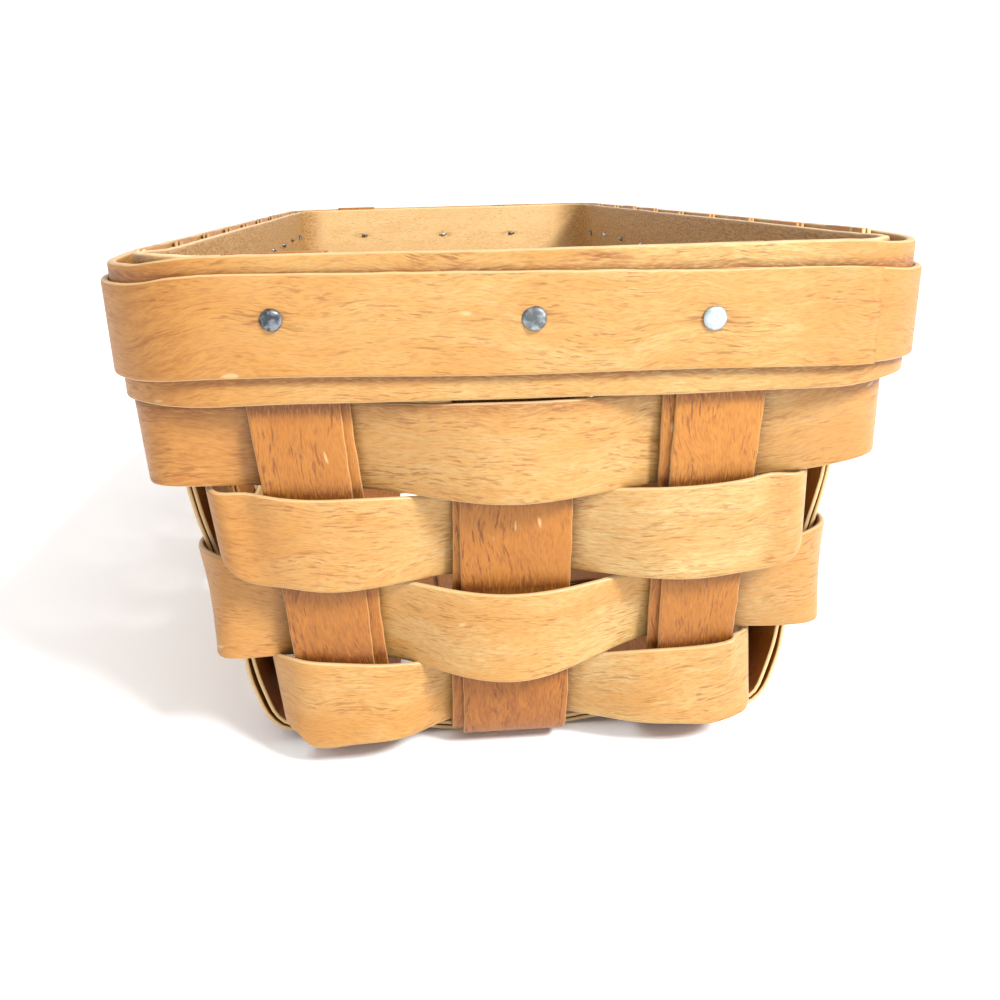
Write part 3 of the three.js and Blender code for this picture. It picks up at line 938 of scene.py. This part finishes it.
def add_clinched_shank(work, matrix, turn):
    """The shank through the rim, with its point bent over flat against the inner band. Each bend is how
    far past the rim it lies, how far to the side, and the share of the shank's radius there."""
    side = Vector((math.cos(turn), math.sin(turn), 0))
    into = Vector((0, 0, -1))
    in_head = 0.0003
    bends = ((-0.0002, 0, 1), (0.0004, 0.0003, 1), (0.0005, 0.001, 0.8), (0.0003, 0.0021, 0.3))
    spots = [into * -in_head]
    spots += [into * (RIM_DEPTH + past) + side * sideways for past, sideways, _ in bends]
    shares = [1] + [share for _, _, share in bends]
    across = side.cross(into)
    around = 8
    rings = []
    for i, (spot, share) in enumerate(zip(spots, shares)):
        before, after = neighbours(spots, i)
        up = (after - before).normalized().cross(across)
        ring = []
        for k in range(around):
            angle = 2 * math.pi * k / around
            spoke = (across * math.cos(angle) + up * math.sin(angle)) * share * TACK_SHANK_RADIUS
            ring.append(work.verts.new(matrix @ (spot + spoke)))
        rings.append(ring)
    add_tube(work, rings)
    work.faces.new(rings[0])
    work.faces.new(list(reversed(rings[-1])))


def tack_places():
    """Where each tack goes: on the trim's outer face, with Z pointing outward from the wall."""
    level = RIM_HEIGHT - TACK_DROP
    places = {}

    def place(name, x, y, z, out, lean):
        outward = Vector((out.x * math.cos(lean), out.y * math.cos(lean), -math.sin(lean)))
        along = Vector((0, 0, 1)).cross(out)
        up = outward.cross(along)
        matrix = Matrix((along, up, outward)).transposed().to_4x4()
        matrix.translation = Vector((x, y, z))
        places[name] = matrix

    for wall, side in (("near", -1), ("far", 1)):
        for splint in LONG_SPLINTS:
            x = splint.value("middle", level) + TACK_SHIFT[wall][splint.name]
            z = level - TRIM_BAND["slope"] * x + TACK_LIFT[wall][splint.name]
            y = side * half_length(z, TRIM_FACE)
            place(f"{wall}_{splint.name}", x, y, z, Vector((0, side, 0)), END_LEAN["band"])
    for wall, side in (("left", -1), ("right", 1)):
        x = side * half_width(level, TRIM_FACE)
        z = level - TRIM_BAND["slope"] * x
        for splint in CROSS:
            y = splint.value("middle", level)
            place(f"{wall}_{splint.name}", x, y, z, Vector((side, 0, 0)), SIDE_LEAN["band"])
    return places


class Shader:
    """Short names for the nodes of one material."""

    def __init__(self, name):
        self.material = bpy.data.materials.new(name)
        self.material.use_nodes = True
        self.nodes = self.material.node_tree.nodes
        self.links = self.material.node_tree.links
        self.surface = self.nodes["Principled BSDF"]

    def add(self, kind, inputs=(), **settings):
        node = self.nodes.new(kind)
        for key, value in settings.items():
            setattr(node, key, value)
        for key, value in dict(inputs).items():
            self.feed(node.inputs[key], value)
        return node

    def feed(self, socket, value):
        if isinstance(value, bpy.types.NodeSocket):
            self.links.new(value, socket)
        else:
            socket.default_value = value

    def set_surface(self, inputs):
        for key, value in inputs.items():
            self.feed(self.surface.inputs[key], value)

    def number(self, name):
        return self.add("ShaderNodeAttribute", attribute_name=name).outputs["Fac"]

    def vector(self, name):
        vector = self.add("ShaderNodeAttribute", attribute_name=name).outputs["Vector"]
        return self.add("ShaderNodeSeparateXYZ", {"Vector": vector}).outputs

    def math(self, operation, *values):
        node = self.add("ShaderNodeMath", operation=operation)
        for socket, value in zip(node.inputs, values):
            self.feed(socket, value)
        return node.outputs[0]

    def noise(self, vector, detail, roughness=0.5, scale=1.0):
        inputs = {"Vector": vector, "Scale": scale, "Detail": detail, "Roughness": roughness}
        return self.add("ShaderNodeTexNoise", inputs).outputs["Fac"]

    def ramp(self, value, low, high):
        inputs = {"Value": value, "From Min": low, "From Max": high}
        return self.add("ShaderNodeMapRange", inputs, interpolation_type="SMOOTHSTEP").outputs[0]

    def mix(self, share, a, b):
        node = self.add("ShaderNodeMix", data_type="RGBA")
        self.feed(node.inputs["Factor"], share)
        self.feed(node.inputs[6], a)
        self.feed(node.inputs[7], b)
        return node.outputs[2]


def mark_mask(shader, breakup):
    """A brown streak along the grain at each mark, broken up by the grain."""
    reach_along, reach_across = 0.0062, 0.0015
    along, across, near = shader.vector("mark")
    far_along = shader.math("DIVIDE", along, reach_along)
    far_across = shader.math("DIVIDE", across, reach_across)
    squared = shader.math("MULTIPLY", far_across, far_across)
    away = shader.math("SQRT", shader.math("MULTIPLY_ADD", far_along, far_along, squared))
    streak = shader.math("SUBTRACT", 1.0, shader.ramp(away, 0.1, 1.0))
    broken = shader.math("MULTIPLY", streak, shader.ramp(breakup, 0.38, 0.62))
    return shader.math("MULTIPLY", broken, near)


def wood(name, pale, deep, brown, fleck, cut, fleck_share=0.55, streak_share=0.3, cut_share=0.55):
    """Oiled maple with its grain along the strip. Colours are linear."""
    shader = Shader(name)
    along, across, seed = shader.vector("strip")
    seed_step = 7.31
    sway_width = 0.0085

    def grain(line, per_metre_along, per_metre_across, shift, detail=2.0, roughness=0.5):
        x = shader.math("MULTIPLY", along, per_metre_along)
        y = shader.math("MULTIPLY", line, per_metre_across)
        z = shader.math("MULTIPLY_ADD", seed, seed_step, shift)
        place = shader.add("ShaderNodeCombineXYZ", {"X": x, "Y": y, "Z": z}).outputs[0]
        return shader.noise(place, detail, roughness)

    sway = shader.math("SUBTRACT", grain(across, 42, 55, 0.0), 0.5)
    line = shader.math("MULTIPLY_ADD", sway, sway_width, across)

    tone = shader.ramp(grain(line, 9, 22, 21.0), 0.34, 0.66)
    broad = shader.ramp(grain(line, 60, 190, 3.0, 3.0, 0.6), 0.34, 0.66)
    streaks = shader.ramp(grain(line, 60, 900, 5.0, 3.0, 0.65), 0.36, 0.68)
    mottle = shader.ramp(grain(line, 430, 2100, 33.0, 3.0, 0.65), 0.36, 0.64)
    pores = grain(line, 360, 2700, 9.0, 2.0, 0.55)
    clusters = shader.ramp(grain(line, 90, 260, 13.0), 0.36, 0.62)
    flecks = shader.math("MULTIPLY", shader.ramp(pores, 0.53, 0.67), clusters)
    fine = grain(line, 800, 5200, 17.0)
    scuffs = shader.ramp(grain(line, 150, 420, 29.0, 1.0), 0.77, 0.82)
    # Painted shade in recesses, darkening towards the fleck colour.
    dirt = shader.math("MULTIPLY", shader.number("dirt"), shader.ramp(fine, 0.2, 0.55))
    cut_edge = shader.ramp(shader.number("cut_edge"), 0.35, 0.95)

    paleness = shader.math("MULTIPLY_ADD", broad, 0.5, shader.math("MULTIPLY", tone, 0.5))
    colour = shader.mix(paleness, deep, pale)
    # The brown amount mixes in a brown that is partly real browning and partly painted shade.
    colour = shader.mix(shader.number("brown"), colour, brown)
    layers = (
        (streaks, streak_share, deep),
        (mottle, 0.55, deep),
        (flecks, fleck_share, fleck),
        (shader.ramp(fine, 0.42, 0.7), 0.28, fleck),
        (dirt, 0.8, fleck),
        (mark_mask(shader, pores), 0.8, fleck),
        (scuffs, 0.5, cut),
        (cut_edge, cut_share, cut),
    )
    for mask, share, over in layers:
        colour = shader.mix(shader.math("MULTIPLY", mask, share), colour, over)

    roughness = shader.math("MULTIPLY_ADD", pores, 0.25, 0.36)
    height = shader.math("MULTIPLY_ADD", flecks, -0.6, shader.math("MULTIPLY", streaks, -0.4))
    height = shader.math("MULTIPLY_ADD", fine, 0.3, height)
    bump = shader.add("ShaderNodeBump", {"Height": height, "Strength": 0.4, "Distance": 0.00012})
    shader.set_surface({"Base Color": colour, "Roughness": roughness, "Normal": bump.outputs[0]})
    shader.set_surface({"Specular IOR Level": 0.35})
    return shader.material


def steel(name, dark, bright, metallic):
    """Tack steel, bright where it is rubbed and dark where it has tarnished."""
    shader = Shader(name)
    spots = shader.noise(shader.add("ShaderNodeTexCoord").outputs["Object"], 3.0, scale=900.0)
    rubbed = shader.ramp(spots, 0.42, 0.62)
    colour = shader.mix(rubbed, dark, bright)
    roughness = shader.math("MULTIPLY_ADD", rubbed, -0.15, 0.5)
    bump = shader.add("ShaderNodeBump", {"Height": spots, "Strength": 0.5, "Distance": 0.0001})
    shader.set_surface({"Base Color": colour, "Roughness": roughness, "Normal": bump.outputs[0]})
    shader.set_surface({"Metallic": metallic})
    return shader.material


# The brown colours of these woods are partly real browning and partly painted shade.
BAND_WOOD = wood(
    "band_wood_honey",
    pale=(0.44, 0.33, 0.14, 1),
    deep=(0.37, 0.178, 0.038, 1),
    brown=(0.29, 0.112, 0.018, 1),
    fleck=(0.16, 0.048, 0.009, 1),
    cut=(0.50, 0.36, 0.19, 1),
)
# The inner band is paler than the outer bands, partly paler wood and partly painted light on its ends; its
# brown is the painted shade on its long sides.
INNER_BAND_WOOD = wood(
    "band_wood_pale",
    pale=(0.66, 0.47, 0.22, 1),
    deep=(0.57, 0.35, 0.14, 1),
    brown=(0.23, 0.108, 0.029, 1),
    fleck=(0.24, 0.10, 0.026, 1),
    cut=(0.60, 0.44, 0.24, 1),
    fleck_share=0.4,
    streak_share=0.25,
)
WEAVER_WOOD = wood(
    "weaver_wood_honey",
    pale=(0.445, 0.335, 0.147, 1),
    deep=(0.37, 0.178, 0.039, 1),
    brown=(0.29, 0.112, 0.019, 1),
    fleck=(0.155, 0.047, 0.009, 1),
    cut=(0.50, 0.36, 0.19, 1),
)


def splint_wood(name, cut_share):
    return wood(
        name,
        pale=(0.43, 0.188, 0.031, 1),
        deep=(0.33, 0.12, 0.014, 1),
        brown=(0.20, 0.062, 0.007, 1),
        fleck=(0.09, 0.020, 0.003, 1),
        cut=(0.60, 0.44, 0.22, 1),
        fleck_share=0.7,
        streak_share=0.35,
        cut_share=cut_share,
    )


# Most splints get little of the pale cut colour on their edges, partly their own colour and partly painted
# shade for the dark lines beside the plies; the first crosswise splint keeps pale edges.
SPLINT_WOOD = splint_wood("splint_wood_amber", 0.25)
PALE_EDGED_WOOD = splint_wood("splint_wood_pale_edged", 0.8)
DARK_STEEL = steel("tack_steel_dark", (0.035, 0.04, 0.05, 1), (0.16, 0.17, 0.19, 1), 0.6)
GREY_STEEL = steel("tack_steel_grey", (0.11, 0.12, 0.125, 1), (0.26, 0.29, 0.29, 1), 0.9)
BRIGHT_STEEL = steel("tack_steel_bright", (0.36, 0.42, 0.45, 1), (0.52, 0.60, 0.63, 1), 1.0)


def add_bands():
    tacks = tack_places().values()
    depth = INNER_BAND_INSET - TRIM_FACE
    outer_tacks = [matrix.translation for matrix in tacks]
    inner_tacks = [matrix @ Vector((0, 0, -depth)) for matrix in tacks]
    knots = [Vector(knot) for knot in KNOTS]
    wide_start = (-half_width(RIM_HEIGHT, 0), WIDE_JOINT_Y)
    trim_start = (TRIM_JOINT_END_X - JOINT_LENGTH, -half_length(RIM_HEIGHT, TRIM_FACE))
    inner_start = (half_width(RIM_HEIGHT, INNER_BAND_INSET), INNER_JOINT_Y)
    bands = (
        ("wide_band", WIDE_BAND, -WIDE_BAND_STAND_OFF, WIDE_BAND_RISES, wide_start, knots),
        ("trim_band", TRIM_BAND, TRIM_FACE, TRIM_RISES, trim_start, outer_tacks),
        ("inner_band", INNER_BAND, INNER_BAND_INSET, INNER_BAND_RISES, inner_start, inner_tacks),
    )
    for number, (node, band, inset, rises, start, marks) in enumerate(bands):
        is_inner = band is INNER_BAND
        pairs, thicknesses = joined_band(band, inset, rises, node, start, band is not TRIM_BAND)
        browning_and_shade = inner_band_side_shade if is_inner else outer_browning_and_shade
        steps, painted_shade = (WIDE_FACE_STEPS, wide_band_painted_shade) if band is WIDE_BAND else (FACE_STEPS, unshaded)
        seed = GRAIN_SEEDS["band"] + number
        piece = strip_object(f"{node}_strip", pairs, thicknesses, steps, seed, browning_and_shade, painted_shade, marks)
        place_piece(piece, node, INNER_BAND_WOOD if is_inner else BAND_WOOD)


def add_weavers():
    for row in range(1, ROWS + 1):
        name = f"weaver_row_{row}_strip"
        look = (GRAIN_SEEDS["weaver"] + row, weaver_browning_and_shade, weaver_painted_shade(row))
        piece = strip_object(name, weaver_pairs(row), WEAVER_THICKNESS, FACE_STEPS, *look)
        place_piece(piece, f"weaver_row_{row}", WEAVER_WOOD)


def add_splint(kind, splint, path, to_world, seed, number):
    material = PALE_EDGED_WOOD if splint is CROSS[0] else SPLINT_WOOD
    painted_shade = splint_painted_shade(number)
    for layer in ("outer", "inner"):
        node = f"{kind}_splint_{splint.name}_{layer}"
        pairs = ply_pairs(path, splint, layer == "outer", to_world, node, PLY_SPREAD[kind])
        layer_seed = seed + (INNER_PLY_SEED if layer == "inner" else 0)
        look = (layer_seed, splint_browning_and_shade, painted_shade)
        piece = strip_object(f"{node}_strip", pairs, PLY_THICKNESS, PLY_FACE_STEPS, *look)
        place_piece(piece, node, material)


def add_splints():
    for number, splint in enumerate(LONG_SPLINTS):
        crossed = [plateau(other, (number + i) % 2 == 1) for i, other in enumerate(CROSS)]
        radius = END_BEND_RADIUS[splint.name]
        path = splint_path(half_length, crossed, radius, SPLINT_PROUD[splint.name], number)
        seed = GRAIN_SEEDS["long"] + number
        add_splint("long", splint, path, lambda p, e: Vector((e, p.x, p.y)), seed, number)
    for i, splint in enumerate(CROSS):
        number = FIRST_CROSS_NUMBER + i
        crossed = [plateau(other, (i + k) % 2 == 0) for k, other in enumerate(LONG_SPLINTS)]
        proud = SPLINT_PROUD["cross"] + random.Random(f"proud {i}").uniform(-PROUD_SPREAD, PROUD_SPREAD)
        radius = FIRST_SIDE_BEND_RADIUS if i == 0 else SIDE_BEND_RADIUS
        path = splint_path(half_width, crossed, radius, proud, number)
        seed = GRAIN_SEEDS["cross"] + i
        add_splint("cross", splint, path, lambda p, e: Vector((p.x, e, p.y)), seed, number)


def add_tacks():
    seen = {
        "near_left": (DARK_STEEL, (0.0, -0.05), 0.93),
        "near_middle": (GREY_STEEL, (-0.12, -0.16), 1.03),
        "near_right": (BRIGHT_STEEL, (0.02, 0.03), 1.03),
    }
    seen_turns = {"far_left": math.pi, "far_middle": 0.0, "far_right": math.pi}
    steels = (DARK_STEEL, GREY_STEEL, GREY_STEEL, BRIGHT_STEEL)
    for name, matrix in tack_places().items():
        rng = random.Random(f"tack {name}")
        tilt = (rng.uniform(-TACK_TILT, TACK_TILT), rng.uniform(-TACK_TILT, TACK_TILT))
        usual = (rng.choice(steels), tilt, rng.uniform(*TACK_SIZES))
        material, tilt, size = seen.get(name, usual)
        turn = seen_turns.get(name, rng.uniform(-TACK_TURN, TACK_TURN) + rng.choice((0, math.pi)))
        piece = tack_object(f"tack_{name}_nail", matrix, tilt, TACK_HEAD_RADIUS * size, turn)
        place_piece(piece, f"tack_{name}", material)


def add_camera():
    pitch, yaw, roll = math.radians(14.348), math.radians(3.588), math.radians(-1.486)
    forward = Vector((math.sin(yaw) * math.cos(pitch), math.cos(yaw) * math.cos(pitch), -math.sin(pitch)))
    right = Vector((math.cos(yaw), -math.sin(yaw), 0))
    up = right.cross(forward)
    turned_right = right * math.cos(roll) + up * math.sin(roll)
    turned_up = up * math.cos(roll) - right * math.sin(roll)
    data = bpy.data.cameras.new("camera")
    data.sensor_width = 36
    data.lens = 36.206
    data.shift_x = 0.03
    data.shift_y = -0.06
    data.clip_start = 0.01
    camera = linked_object("camera", data)
    matrix = Matrix((turned_right, turned_up, -forward)).transposed().to_4x4()
    matrix.translation = Vector((-0.01805, -0.28722, 0.09577))
    camera.matrix_world = matrix
    bpy.context.scene.camera = camera


def add_floor():
    mesh = bpy.data.meshes.new("floor")
    size = 4.0
    corners = [(-size, -size, 0), (size, -size, 0), (size, size, 0), (-size, size, 0)]
    mesh.from_pydata(corners, [], [(0, 1, 2, 3)])
    floor = linked_object("floor", mesh)
    shader = Shader("floor_pale")
    shader.set_surface({"Base Color": (0.98, 0.98, 0.98, 1), "Roughness": 0.9, "Specular IOR Level": 0.1})
    mesh.materials.append(shader.material)


def add_light(name, place, target, size, power):
    data = bpy.data.lights.new(name, "AREA")
    data.shape = "DISK"
    data.size = size
    data.energy = power
    lamp = linked_object(name, data)
    lamp.location = Vector(place)
    lamp.rotation_euler = (Vector(target) - Vector(place)).to_track_quat("-Z", "Y").to_euler()


def add_studio():
    world = bpy.data.worlds.new("studio")
    world.use_nodes = True
    background = world.node_tree.nodes["Background"]
    background.inputs["Color"].default_value = (1, 1, 1, 1)
    background.inputs["Strength"].default_value = 1.18
    bpy.context.scene.world = world
    add_light("key", place=(0.56, -0.74, 0.75), target=(0, -0.08, 0.04), size=0.3, power=22)
    bpy.context.scene.view_settings.view_transform = "Standard"


add_camera()
add_floor()
add_studio()
add_bands()
add_weavers()
add_splints()
add_tacks()
